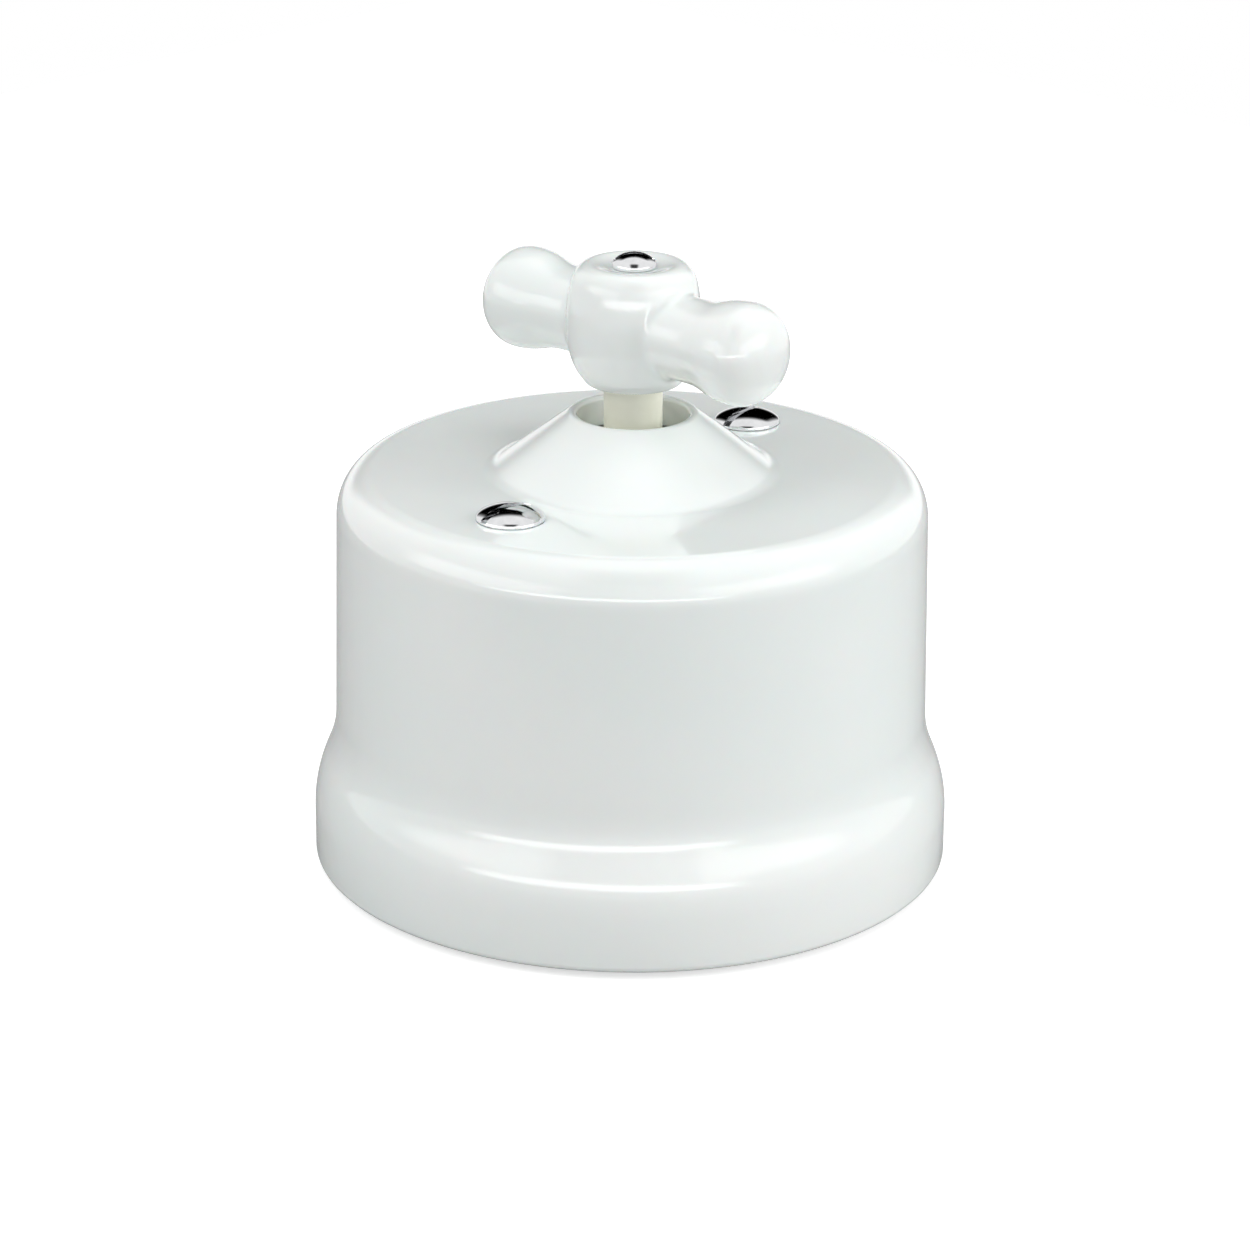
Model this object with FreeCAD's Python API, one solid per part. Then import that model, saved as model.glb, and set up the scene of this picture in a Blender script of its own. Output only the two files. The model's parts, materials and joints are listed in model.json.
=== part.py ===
import FreeCAD, Part
import math
import os

os.makedirs("parts", exist_ok=True)

# Surface-mounted porcelain rotary switch.
# The origin is the centre of the back face, z = 0 is the wall, +Z points away from the wall.
# The handle lies along X at rest. All lengths are in millimetres, all angles in degrees.

# Spindle and the square keys on it
spindle_radius = 2.95
running_clearance = 0.05
key_shoulder = 0.05
key_clearance = 0.05
end_gap = 0.3

# Rotor: a square detent cam, a round drum and a square neck
rotor_key_wall = 0.7
drum_wall = 1.54
drum_height = 5.0
cam_step = 0.5
cam_margin = 1.1
cam_corner_round = 1.5
rotor_top_gap = 2.6

# Detent leaf springs and the posts that hold their ends
leaf_thickness = 0.5
leaf_width = 4.6
leaf_gap = 0.1
leaf_corner_round = 1.0
leaf_slot_depth = 2.4
leaf_post_length = 3.0
leaf_post_width = 3.0
leaf_post_top = 0.5

# Contacts: the four tips lie on a circle outside the drum
contact_reach = 5.8245
contact_gap = 0.1
strip_thickness = 0.8
strip_width = 4.2
strip_end_margin = 1.0
link_width = 2.6
tip_radius = 1.4
tip_height = 0.7
bridge_play = 0.3
bridge_clearance = 0.8
bridge_end_margin = 0.2
bridge_end_round = 2.0
bridge_width = 5.0

# Coil spring, washer and ring on the spindle
coil_height = 7.55
coil_gap = 0.6
coil_wire_radius = 0.3
coil_turns = 4.0
coil_seat_margin = 0.2
washer_thickness = 0.7
ring_width = 1.55
ring_thickness = 0.6
ring_mouth = 3.2
ring_clearance = 0.05
ring_below_lid = 1.0
groove_depth = 0.65

# Mechanism housing and lid
housing_corner_round = 4.0
housing_wall = 1.8
housing_floor = 2.0
post_inset = 3.2
post_radius = 2.2
shelf_thickness = 1.8
shelf_overhang = 1.6
lid_thickness = 2.5
neck_wall = 1.8
neck_recess = 3.1
neck_foot_reach = 3.0
neck_foot_round = 1.5
neck_outer_round = 0.4
neck_inner_round = 0.2

# Terminals
block_length = 6.0
block_width = 7.0
block_height = 7.0
block_gap = 0.5
block_corner_round = 0.6
block_shelf_thickness = 4.0
wire_bore_radius = 1.5
wire_bore_height = 2.6
terminal_screw_entry = 0.9

# Screws: the heads of the plain ones are multiples of the shank, as on standard pan heads
pan_head_ratio = 1.85
pan_height_ratio = 1.2
pan_round_ratio = 0.4
pan_slot_ratio = 0.45
pan_slot_angle = 20.0
screw_clearance = 0.4
thread_clearance = 0.05
seat_clearance = 0.05
back_screw_recess_depth = 3.0
housing_screw_radius = 1.25
housing_screw_reach = 9.0
lid_screw_radius = 1.2
lid_screw_reach = 8.0
terminal_screw_radius = 1.25
pillar_screw_radius = 1.65
pillar_screw_reach = 7.0

# Cover screws and the pillars that take them, just outside the housing
pillar_flats = 7.0
pillar_gap = 0.6
cover_screw_angle = 95.0
cover_screw_radius = 1.65
cover_screw_head_radius = 3.4
cover_screw_rim = 0.3
cover_screw_dome = 1.15
cover_screw_reach = 10.0
cover_screw_slots = (91.0, 82.0)
slot_width = 0.85
slot_depth = 1.15

# Base
base_thickness = 7.0
base_fit = 0.4
base_edge_round = 0.6
pocket_depth = 1.0
pocket_fit = 0.25
wall_screw_gap = 2.075
wall_hole_radius = 2.3
wall_screw_seat_radius = 4.4
wall_screw_seat_depth = 2.5
cable_hole_radius = 4.0
cable_hole_wall_gap = 0.1
cable_hole_housing_gap = 0.5

# Cover: the room inside, its walls, and the outside form
cavity_margin = 7.2
space_over_lid = 1.8
boss_wall = 1.6
boss_length = 4.0
body_wall = 3.3
top_wall = 3.2
inner_corner_round = 3.0
body_draft = 0.35
shoulder_width = 3.7
shoulder_height = 4.5
skirt_step = 2.3
skirt_wall = 3.2
skirt_height = 5.8
flare_lower = 5.5
flare_upper = 5.0
foot_round_width = 2.0
foot_round_height = 1.1
rim_gap = 0.25

# Raised collar in the middle of the cover
neck_gap = 0.87
collar_gap = 2.0
collar_height = 6.1
collar_wall = 3.0
collar_foot_round = 2.5
lip_width = 0.75
lip_outer_round = 0.75
lip_inner_round = 0.45
recess_lip_step = 0.2

# Handle: the hub, then the lobes
handle_gap = 3.1
hub_height = 12.3
hub_foot_wall = 2.0
hub_foot_round = 0.3
hub_spread = 1.3
hub_belly_bulge = 2.2
hub_belly_level = 0.22
hub_chest_bulge = 0.84
hub_chest_level = 0.63
hub_shoulder_drop = 1.7
dish_room = 1.95
dish_lip = 0.3
dish_depth = 0.45
dish_floor_gap = 0.3
dish_floor_round = 0.8
handle_roof = 5.2
lobe_drop = 0.25
lobe_neck_margin = 1.9
lobe_neck_reach = 1.95
lobe_swell = 0.95
lobe_length = 18.4
lobe_end_length = 3.8
junction_round = 1.2

# Handle screw and the threaded bush it enters
handle_screw_radius = 1.2
handle_screw_head_radius = 2.25
handle_screw_head_rim = 0.35
handle_screw_dome = 1.15
handle_screw_slot_width = 0.6
handle_screw_slot_depth = 0.8
handle_screw_slot_angle = 43.0
handle_screw_stop = 0.5
insert_wall = 1.05
insert_length = 7.0
insert_depth = 2.7
tap_run_out = 1.5

# Modelling allowances: how far fused shapes reach into each other, and cuts past a surface
join = 0.5
past = 1.0

# Plan sizes, from the spindle outwards
key_side = math.sqrt(2.0) * (spindle_radius - key_shoulder)
journal_radius = key_side / 2 - key_shoulder
rotor_key_side = key_side + 2 * (key_clearance + rotor_key_wall)
rotor_key_corner = rotor_key_side / math.sqrt(2.0)
coil_radius = rotor_key_corner + coil_wire_radius + coil_gap
coil_seat_radius = coil_radius + coil_wire_radius + coil_seat_margin
ring_radius = spindle_radius + ring_width
drum_radius = rotor_key_corner + drum_wall
cam_side = 2 * (drum_radius + cam_step)
leaf_middle = cam_side / 2 + leaf_gap + leaf_thickness / 2
contact_circle = drum_radius + contact_reach
contact_offset = contact_circle / math.sqrt(2.0)
bridge_half_length = contact_circle + tip_radius + bridge_end_margin
cavity_half = bridge_half_length + bridge_clearance
housing_half = cavity_half + housing_wall
strip_inner_end = contact_offset - tip_radius - strip_end_margin
strip_outer_end = housing_half + block_gap + block_length
post_offset = housing_half - post_inset
pillar_reach = housing_half + pillar_gap + pillar_flats / 2
cover_screw_circle = pillar_reach / math.sin(math.radians(cover_screw_angle))
cavity_radius = cover_screw_circle + cavity_margin
body_radius = cavity_radius + body_wall
body_top_radius = body_radius - body_draft
skirt_radius = body_radius + skirt_step
skirt_inner_radius = skirt_radius - skirt_wall
base_radius = skirt_inner_radius - base_fit
wall_screw_offset = housing_half + wall_screw_gap + wall_screw_seat_radius
cable_hole_y = housing_half + cable_hole_housing_gap + cable_hole_radius
cable_hole_circle = cavity_radius - cable_hole_radius - cable_hole_wall_gap
cable_hole_x = math.sqrt(cable_hole_circle ** 2 - cable_hole_y ** 2)
neck_radius = spindle_radius + running_clearance + neck_wall
hole_radius = neck_radius + neck_gap
collar_lip_radius = hole_radius + lip_width
collar_radius = cover_screw_circle - cover_screw_head_radius - collar_gap
boss_radius = cover_screw_head_radius + boss_wall
hub_foot_radius = spindle_radius + hub_foot_wall
hub_shoulder_radius = hub_foot_radius + hub_spread
dish_radius = handle_screw_head_radius + dish_room
insert_radius = spindle_radius - insert_wall
lobe_neck_radius = hub_height / 2 - lobe_neck_margin
lobe_radius = lobe_neck_radius + lobe_swell
lobe_neck_end = hub_shoulder_radius + lobe_neck_reach
lobe_bulb = lobe_length - lobe_end_length

# Levels, from the base up to the top of the handle
pocket_floor = base_thickness - pocket_depth
cavity_floor = pocket_floor + housing_floor
rotor_bottom = cavity_floor + end_gap
leaf_top = rotor_bottom + leaf_width
cam_top = leaf_top + cam_margin
drum_top = cam_top + drum_height
bridge_bottom = drum_top + bridge_play
bridge_top = bridge_bottom + strip_thickness
fixed_tip_top = bridge_bottom - tip_height - contact_gap
strip_top = fixed_tip_top - tip_height
strip_bottom = strip_top - strip_thickness
washer_bottom = bridge_top + coil_height
rotor_top = washer_bottom - rotor_top_gap
shaft_bottom = rotor_top + end_gap
ring_bottom = washer_bottom + washer_thickness + seat_clearance
ring_top = ring_bottom + ring_thickness
housing_top = ring_top + ring_below_lid
lid_top = housing_top + lid_thickness
boss_bottom = lid_top + space_over_lid
ceiling = boss_bottom + boss_length
cover_height = ceiling + top_wall
lip_height = cover_height + collar_height
neck_top = lip_height - neck_recess
flare_middle = skirt_height + flare_lower
flare_top = flare_middle + flare_upper
handle_bottom = lip_height + handle_gap
handle_top = handle_bottom + hub_height
handle_axis_height = handle_bottom + hub_height / 2 - lobe_drop
handle_key_top = handle_top - handle_roof - end_gap
dish_floor = handle_top - dish_depth
insert_top = handle_bottom - insert_depth
insert_bottom = insert_top - insert_length


def circle_points(radius, first_angle, count=2):
    """Evenly spaced places round the axis."""
    angles = [math.radians(first_angle + 360.0 * i / count) for i in range(count)]
    return [(radius * math.cos(a), radius * math.sin(a)) for a in angles]


cover_screw_places = circle_points(cover_screw_circle, cover_screw_angle)
wall_screw_places = circle_points(wall_screw_offset, 0.0)
cable_places = [(cable_hole_x, cable_hole_y), (-cable_hole_x, -cable_hole_y)]
lid_screw_places = [(post_offset, post_offset), (-post_offset, -post_offset)]
housing_screw_places = [(post_offset, -post_offset), (-post_offset, post_offset)]
post_places = lid_screw_places + housing_screw_places
back_screws = [(cover_screw_places, pillar_screw_radius), (housing_screw_places, housing_screw_radius)]
terminal_x = strip_outer_end - block_length / 2
terminal_places = [(sx * terminal_x, sy * contact_offset) for sx in (1, -1) for sy in (1, -1)]
fixed_tip_places = [(sx * contact_offset, sy * contact_offset) for sx in (1, -1) for sy in (1, -1)]
moving_tip_places = [(contact_offset, contact_offset), (-contact_offset, -contact_offset)]


# Shape helpers
def vec(x, y, z):
    return FreeCAD.Vector(x, y, z)


def cylinder(radius, z_low, z_high, place=(0.0, 0.0)):
    return Part.makeCylinder(radius, z_high - z_low, vec(place[0], place[1], z_low))


def block(x_low, x_high, y_low, y_high, z_low, z_high):
    size = (x_high - x_low, y_high - y_low, z_high - z_low)
    return Part.makeBox(size[0], size[1], size[2], vec(x_low, y_low, z_low))


def square_bar(side, z_low, z_high, corner_round=0.0):
    """Upright square bar on the axis, its upright edges rounded if asked."""
    half = side / 2
    bar = block(-half, half, -half, half, z_low, z_high)
    if corner_round > 0:
        upright = [e for e in bar.Edges if abs(e.BoundBox.ZLength) > (z_high - z_low) / 2]
        bar = bar.makeFillet(corner_round, upright)
    return bar


def hexagon_bar(flats, z_low, z_high, place, turn):
    corner = flats / math.sqrt(3.0)
    points = []
    for i in range(7):
        angle = math.radians(turn + 60.0 * i)
        points.append(vec(place[0] + corner * math.cos(angle), place[1] + corner * math.sin(angle), z_low))
    return Part.Face(Part.makePolygon(points)).extrude(vec(0, 0, z_high - z_low))


def path_edges(corners):
    """Straight runs through (x, z, round) corners in the XZ plane, joined by tangent arcs."""
    points = [vec(x, 0, z) for x, z, _ in corners]
    edges = []
    start = points[0]
    for i in range(1, len(points) - 1):
        radius = corners[i][2]
        if radius <= 0:
            edges.append(Part.makeLine(start, points[i]))
            start = points[i]
            continue
        back = (points[i - 1] - points[i]).normalize()
        ahead = (points[i + 1] - points[i]).normalize()
        half_angle = back.getAngle(ahead) / 2
        reach = radius / math.tan(half_angle)
        inward = (back + ahead).normalize()
        centre = points[i] + inward * (radius / math.sin(half_angle))
        arc_start = points[i] + back * reach
        arc_end = points[i] + ahead * reach
        edges.append(Part.makeLine(start, arc_start))
        edges.append(Part.Arc(arc_start, centre - inward * radius, arc_end).toShape())
        start = arc_end
    edges.append(Part.makeLine(start, points[-1]))
    return edges


def curve_edge(*points):
    """Bezier curve through its control points (x, z) in the XZ plane."""
    curve = Part.BezierCurve()
    curve.setPoles([vec(x, 0, z) for x, z in points])
    return curve.toShape()


def quarter_oval(start, corner, end):
    """Quarter of an oval from start to end, tangent to the two lines that meet at the corner."""
    pull = 0.5523
    first = [start[i] + pull * (corner[i] - start[i]) for i in (0, 1)]
    second = [end[i] + pull * (corner[i] - end[i]) for i in (0, 1)]
    return curve_edge(start, first, second, end)


def turned(edges, axis=(0, 0, 1)):
    """Solid of revolution of a closed profile in the XZ plane."""
    wire = Part.Wire(Part.__sortEdges__(edges))
    return Part.Face(wire).revolve(vec(0, 0, 0), vec(*axis), 360)


def turned_path(corners):
    return turned(path_edges(corners))


def rotated(shape, angle):
    shape = shape.copy()
    shape.rotate(vec(0, 0, 0), vec(0, 0, 1), angle)
    return shape


def moved(shape, place, z=0.0):
    shape = shape.copy()
    shape.translate(vec(place[0], place[1], z))
    return shape


def save(name, *solids):
    shape = solids[0] if len(solids) == 1 else Part.makeCompound(list(solids))
    shape.exportStep("parts/" + name + ".step")
    found = shape.Solids
    valid = all(s.isValid() for s in found)
    print(name, len(found), "solids,", round(sum(s.Volume for s in found), 1), "mm3, valid", valid)


# Fasteners
def domed_head(radius, rim, dome, seat):
    """Low domed head that stands on z = seat: a short rim and a spherical cap."""
    top = seat + rim + dome
    sphere_radius = (radius * radius + dome * dome) / (2 * dome)
    half = math.asin(radius / sphere_radius) / 2
    middle = vec(sphere_radius * math.sin(half), 0, top - sphere_radius * (1 - math.cos(half)))
    side = Part.makeLine(vec(radius, 0, seat), vec(radius, 0, seat + rim))
    cap = Part.Arc(vec(radius, 0, seat + rim), middle, vec(0, 0, top)).toShape()
    axis = Part.makeLine(vec(0, 0, top), vec(0, 0, seat))
    floor = Part.makeLine(vec(0, 0, seat), vec(radius, 0, seat))
    return turned([side, cap, axis, floor])


def slotted(screw, head_radius, head_top, width, depth, angle):
    """Cuts a driver slot across the head of a screw on the axis."""
    reach = head_radius + past
    slot = block(-reach, reach, -width / 2, width / 2, head_top - depth, head_top + past)
    return screw.cut(rotated(slot, angle))


def cover_screw(slot_angle):
    """Oval-head screw: dome above the cover, cone in its countersink, shank in the pillar."""
    head = domed_head(cover_screw_head_radius, cover_screw_rim, cover_screw_dome, cover_height)
    cone_depth = cover_screw_head_radius - cover_screw_radius
    cone = Part.makeCone(cover_screw_radius, cover_screw_head_radius - seat_clearance, cone_depth,
                         vec(0, 0, cover_height - cone_depth))
    shank = cylinder(cover_screw_radius, boss_bottom - cover_screw_reach, cover_height - cone_depth)
    screw = head.fuse([cone, shank]).removeSplitter()
    top = cover_height + cover_screw_rim + cover_screw_dome
    return slotted(screw, cover_screw_head_radius, top, slot_width, slot_depth, slot_angle)


def pan_screw(radius, length):
    """Slotted pan-head screw whose head stands on z = 0 and whose shank points down."""
    head_radius = pan_head_ratio * radius
    head_height = pan_height_ratio * radius
    head = cylinder(head_radius, 0.0, head_height)
    upper = [e for e in head.Edges if e.BoundBox.ZMin > head_height / 2]
    head = head.makeFillet(head_height * pan_round_ratio, upper)
    screw = head.fuse(cylinder(radius, -length, 0.0))
    return slotted(screw, head_radius, head_height, radius * pan_slot_ratio,
                   head_height * pan_slot_ratio, pan_slot_angle)


# Cover: one glazed porcelain piece
def cover():
    middle_radius = skirt_radius - skirt_step * flare_lower / (flare_lower + flare_upper)
    flare_middle_point = (middle_radius, flare_middle)
    foot_inner = (skirt_radius - foot_round_width, rim_gap)
    foot_outer = (skirt_radius, rim_gap + foot_round_height)
    shoulder_low = (body_top_radius, cover_height - shoulder_height)
    shoulder_high = (body_top_radius - shoulder_width, cover_height)
    recess_radius = collar_radius - collar_wall
    recess_top = lip_height - collar_wall
    recess_top_radius = collar_lip_radius + recess_lip_step
    edges = [quarter_oval(foot_inner, (skirt_radius, rim_gap), foot_outer)]
    edges += path_edges([foot_outer + (0,), (skirt_radius, skirt_height, 0)])
    edges.append(curve_edge((skirt_radius, skirt_height),
                            (skirt_radius, skirt_height + flare_lower / 2), flare_middle_point))
    edges.append(curve_edge(flare_middle_point,
                            (body_radius, flare_middle + flare_upper / 2), (body_radius, flare_top)))
    edges += path_edges([(body_radius, flare_top, 0), shoulder_low + (0,)])
    edges.append(quarter_oval(shoulder_low, (body_top_radius, cover_height), shoulder_high))
    edges += path_edges([
        shoulder_high + (0,),
        (collar_radius, cover_height, collar_foot_round),
        (collar_lip_radius, lip_height, lip_outer_round),
        (hole_radius, lip_height, lip_inner_round),
        (hole_radius, recess_top, 0),
        (recess_top_radius, recess_top, 0),
        (recess_radius, ceiling, 0),
        (cavity_radius, ceiling, inner_corner_round),
        (cavity_radius, base_thickness, 0),
        (skirt_inner_radius, base_thickness, 0),
        (skirt_inner_radius, rim_gap, 0),
        foot_inner + (0,),
    ])
    shell = turned(edges)
    bosses = [cylinder(boss_radius, boss_bottom, ceiling + join, p) for p in cover_screw_places]
    shell = shell.fuse(bosses)
    hole = cover_screw_radius + screw_clearance
    for place in cover_screw_places:
        sink = Part.makeCone(hole, cover_screw_head_radius, cover_screw_head_radius - hole,
                             vec(place[0], place[1], cover_height - cover_screw_head_radius + hole))
        shell = shell.cut(cylinder(hole, boss_bottom - past, cover_height + past, place))
        shell = shell.cut(sink)
    return shell.removeSplitter()


# Base: porcelain disc behind the cover
def base():
    disc = turned_path([
        (0, 0, 0),
        (base_radius, 0, base_edge_round),
        (base_radius, base_thickness, base_edge_round),
        (0, base_thickness, 0),
        (0, 0, 0),
    ])
    top = base_thickness + past
    cuts = [square_bar(2 * (housing_half + pocket_fit), pocket_floor, top, housing_corner_round)]
    for place in wall_screw_places:
        cuts.append(cylinder(wall_hole_radius, -past, top, place))
        cuts.append(cylinder(wall_screw_seat_radius, base_thickness - wall_screw_seat_depth, top, place))
    for place in cable_places:
        cuts.append(cylinder(cable_hole_radius, -past, top, place))
    for places, radius in back_screws:
        for place in places:
            cuts.append(cylinder(radius + screw_clearance, -past, top, place))
            cuts.append(cylinder(pan_head_ratio * radius + screw_clearance, -past,
                                 back_screw_recess_depth, place))
    return disc.cut(cuts)


def pillar(place):
    """Hexagon pillar between base and cover, threaded from both ends."""
    bar = hexagon_bar(pillar_flats, base_thickness, boss_bottom, place, cover_screw_angle + 30.0)
    upper = cylinder(cover_screw_radius + thread_clearance,
                     boss_bottom - cover_screw_reach - tap_run_out, boss_bottom + past, place)
    lower = cylinder(pillar_screw_radius + thread_clearance, base_thickness - past,
                     base_thickness + pillar_screw_reach + tap_run_out, place)
    return bar.cut([upper, lower])


def back_screw(place, radius, top):
    """Screw from the back of the base, head in its recess, up to z = top."""
    screw = pan_screw(radius, top - back_screw_recess_depth)
    screw.rotate(vec(0, 0, 0), vec(1, 0, 0), 180)
    return moved(screw, place, back_screw_recess_depth)


# Mechanism housing: open box with posts, shelves for the strips and slots for the leaf springs
def spanned(side, near, far):
    """Lower and upper end of the stretch from near to far on the given side of the axis."""
    return sorted((side * near, side * far))


def housing():
    body = square_bar(2 * housing_half, pocket_floor, housing_top, housing_corner_round)
    inside = square_bar(2 * cavity_half, cavity_floor, housing_top + past,
                        housing_corner_round - housing_wall)
    body = body.cut(inside)
    half_strip = strip_width / 2
    link_edge = contact_offset + half_strip + link_width
    shelf_bottom = strip_bottom - shelf_thickness
    post_bottom = cavity_floor - join
    additions = [cylinder(post_radius, pocket_floor, housing_top, p) for p in post_places]
    additions.append(block(-contact_offset, contact_offset, link_edge - link_width,
                           cavity_half + join, shelf_bottom, strip_bottom))
    cuts = [cylinder(journal_radius + running_clearance, pocket_floor - past, cavity_floor + past)]
    slot_half = half_strip + seat_clearance
    leaf_half = leaf_thickness / 2 + seat_clearance
    post_start = cavity_half - leaf_post_length
    for sx in (1, -1):
        shelf_x = spanned(sx, strip_inner_end + shelf_overhang, cavity_half + join)
        terminal_shelf_x = spanned(sx, housing_half - join, strip_outer_end)
        post_x = spanned(sx, post_start, cavity_half + join)
        strip_slot_x = spanned(sx, strip_inner_end, housing_half + join)
        leaf_slot_x = spanned(sx, post_start - join, post_start + leaf_slot_depth)
        for sy in (1, -1):
            shelf_y = spanned(sy, contact_offset - half_strip, contact_offset + half_strip)
            terminal_shelf_y = spanned(sy, contact_offset - block_width / 2,
                                       contact_offset + block_width / 2)
            post_y = spanned(sy, leaf_middle - leaf_post_width / 2, leaf_middle + leaf_post_width / 2)
            strip_slot_y = spanned(sy, contact_offset - slot_half, contact_offset + slot_half)
            leaf_slot_y = spanned(sy, leaf_middle - leaf_half, leaf_middle + leaf_half)
            additions.append(block(*shelf_x, *shelf_y, shelf_bottom, strip_bottom))
            additions.append(block(*terminal_shelf_x, *terminal_shelf_y,
                                   strip_bottom - block_shelf_thickness, strip_bottom))
            additions.append(block(*post_x, *post_y, post_bottom, leaf_top + leaf_post_top))
            cuts.append(block(*strip_slot_x, *strip_slot_y, strip_bottom, strip_top + seat_clearance))
            cuts.append(block(*leaf_slot_x, *leaf_slot_y, rotor_bottom, leaf_top + past))
    for place in lid_screw_places:
        cuts.append(cylinder(lid_screw_radius + thread_clearance,
                             housing_top - lid_screw_reach - tap_run_out, housing_top + past, place))
    for place in housing_screw_places:
        cuts.append(cylinder(housing_screw_radius + thread_clearance, pocket_floor - past,
                             pocket_floor + housing_screw_reach + tap_run_out, place))
    return body.fuse(additions).cut(cuts).removeSplitter()


def lid():
    """Plate that closes the housing, with the long bearing neck for the spindle."""
    bore = spindle_radius + running_clearance
    foot_radius = neck_radius + neck_foot_reach
    plate = square_bar(2 * housing_half, housing_top, lid_top, housing_corner_round)
    neck = turned_path([
        (bore, lid_top - join, 0),
        (foot_radius, lid_top - join, 0),
        (foot_radius, lid_top, 0),
        (neck_radius, lid_top, neck_foot_round),
        (neck_radius, neck_top, neck_outer_round),
        (bore, neck_top, neck_inner_round),
        (bore, lid_top - join, 0),
    ])
    shape = plate.fuse(neck).cut(cylinder(bore, housing_top - past, lid_top + past))
    holes = [cylinder(lid_screw_radius + screw_clearance / 2, housing_top - past, lid_top + past, p)
             for p in lid_screw_places]
    return shape.cut(holes).removeSplitter()


def lid_screw(place):
    return moved(pan_screw(lid_screw_radius, lid_thickness + lid_screw_reach), place, lid_top)


# Fixed contacts: flat brass strips that run along X through the housing's end walls
def strip(side_x, side_y):
    xs = sorted((side_x * strip_inner_end, side_x * strip_outer_end))
    y = side_y * contact_offset
    return block(xs[0], xs[1], y - strip_width / 2, y + strip_width / 2, strip_bottom, strip_top)


def common_contact():
    """The two strips on the +Y side and the link between them are one stamping."""
    low = contact_offset + strip_width / 2
    half = strip_inner_end + link_width
    link = block(-half, half, low, low + link_width, strip_bottom, strip_top)
    return link.fuse([strip(1, 1), strip(-1, 1)]).removeSplitter()


def terminal_block(place):
    """Tunnel terminal: wire bore along X, clamping screw from above."""
    x, y = place
    top = strip_top + block_height
    body = block(x - block_length / 2, x + block_length / 2, y - block_width / 2,
                 y + block_width / 2, strip_top, top)
    upright = [e for e in body.Edges if e.BoundBox.ZLength > block_height / 2]
    body = body.makeFillet(block_corner_round, upright)
    bore_level = strip_top + wire_bore_height
    bore = Part.makeCylinder(wire_bore_radius, block_length + 2 * past,
                             vec(x - block_length / 2 - past, y, bore_level), vec(1, 0, 0))
    thread = cylinder(terminal_screw_radius + thread_clearance, bore_level, top + past, place)
    return body.cut([bore, thread])


def terminal_screw(place):
    top = strip_top + block_height
    length = block_height - wire_bore_height - terminal_screw_entry
    return moved(pan_screw(terminal_screw_radius, length), place, top)


# Leaf spring: flat strip that presses on one side of the cam
def leaf_spring(side_y):
    half = cavity_half - leaf_post_length + leaf_slot_depth - seat_clearance
    y = side_y * leaf_middle
    leaf = block(-half, half, y - leaf_thickness / 2, y + leaf_thickness / 2, rotor_bottom, leaf_top)
    across = [e for e in leaf.Edges if e.BoundBox.YLength > leaf_thickness / 2]
    return leaf.makeFillet(leaf_corner_round, across)


# Turning set
def spindle():
    """Journal, square for the rotor, round shaft with a ring groove, square for the handle."""
    journal = cylinder(journal_radius, pocket_floor + end_gap, rotor_bottom)
    lower_key = square_bar(key_side, rotor_bottom, shaft_bottom)
    shaft = cylinder(spindle_radius, shaft_bottom, handle_bottom)
    upper_key = square_bar(key_side, handle_bottom, handle_key_top)
    shape = journal.fuse([lower_key, shaft, upper_key])
    groove = cylinder(spindle_radius + past, ring_bottom, ring_top)
    groove = groove.cut(cylinder(spindle_radius - groove_depth, ring_bottom - past, ring_top + past))
    pocket = cylinder(insert_radius, insert_bottom, insert_top)
    screw_way = cylinder(handle_screw_radius + screw_clearance / 2, insert_bottom - tap_run_out,
                         handle_key_top + past)
    return shape.cut([groove, pocket, screw_way])


def spindle_insert():
    bush = cylinder(insert_radius, insert_bottom, insert_top)
    return bush.cut(cylinder(handle_screw_radius + thread_clearance, insert_bottom - past,
                             insert_top + past))


def rotor():
    """Insulating carrier: square cam, round drum and the square neck that turns the bridge."""
    cam = square_bar(cam_side, rotor_bottom, cam_top, cam_corner_round)
    drum = cylinder(drum_radius, cam_top, drum_top)
    neck = square_bar(rotor_key_side, drum_top, rotor_top)
    bore = square_bar(key_side + 2 * key_clearance, rotor_bottom - past, rotor_top + past)
    return cam.fuse([drum, neck]).cut(bore)


def contact_bridge():
    """Moving contact: a strip along the diagonal with a round middle and a square hole."""
    half = bridge_half_length
    bar = block(-half, half, -bridge_width / 2, bridge_width / 2, bridge_bottom, bridge_top)
    upright = [e for e in bar.Edges if e.BoundBox.ZLength > strip_thickness / 2]
    bar = rotated(bar.makeFillet(bridge_end_round, upright), 45.0)
    hub = cylinder(coil_seat_radius, bridge_bottom, bridge_top)
    hole = square_bar(rotor_key_side + 2 * key_clearance, bridge_bottom - past, bridge_top + past)
    return bar.fuse(hub).cut(hole).removeSplitter()


def pressure_spring():
    """Coil spring between the bridge and the washer."""
    low = bridge_top + coil_wire_radius + seat_clearance
    high = washer_bottom - coil_wire_radius - seat_clearance
    helix = Part.makeLongHelix((high - low) / coil_turns, high - low, coil_radius)
    wire = Part.Wire(Part.Circle(vec(coil_radius, 0, 0), vec(0, 1, 0), coil_wire_radius).toShape())
    coil = Part.Wire(helix.Edges).makePipeShell([wire], True, True)
    return moved(coil, (0, 0), low)


def thrust_washer():
    washer_top = washer_bottom + washer_thickness
    disc = cylinder(coil_seat_radius, washer_bottom, washer_top)
    return disc.cut(cylinder(spindle_radius + running_clearance, washer_bottom - past, washer_top + past))


def retaining_ring():
    bottom = ring_bottom + ring_clearance / 2
    top = ring_top - ring_clearance / 2
    disc = cylinder(ring_radius, bottom, top)
    inner = spindle_radius - groove_depth + ring_clearance
    mouth = block(0, ring_radius + past, -ring_mouth / 2, ring_mouth / 2, bottom - past, top + past)
    return disc.cut([cylinder(inner, bottom - past, top + past), mouth])


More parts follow.
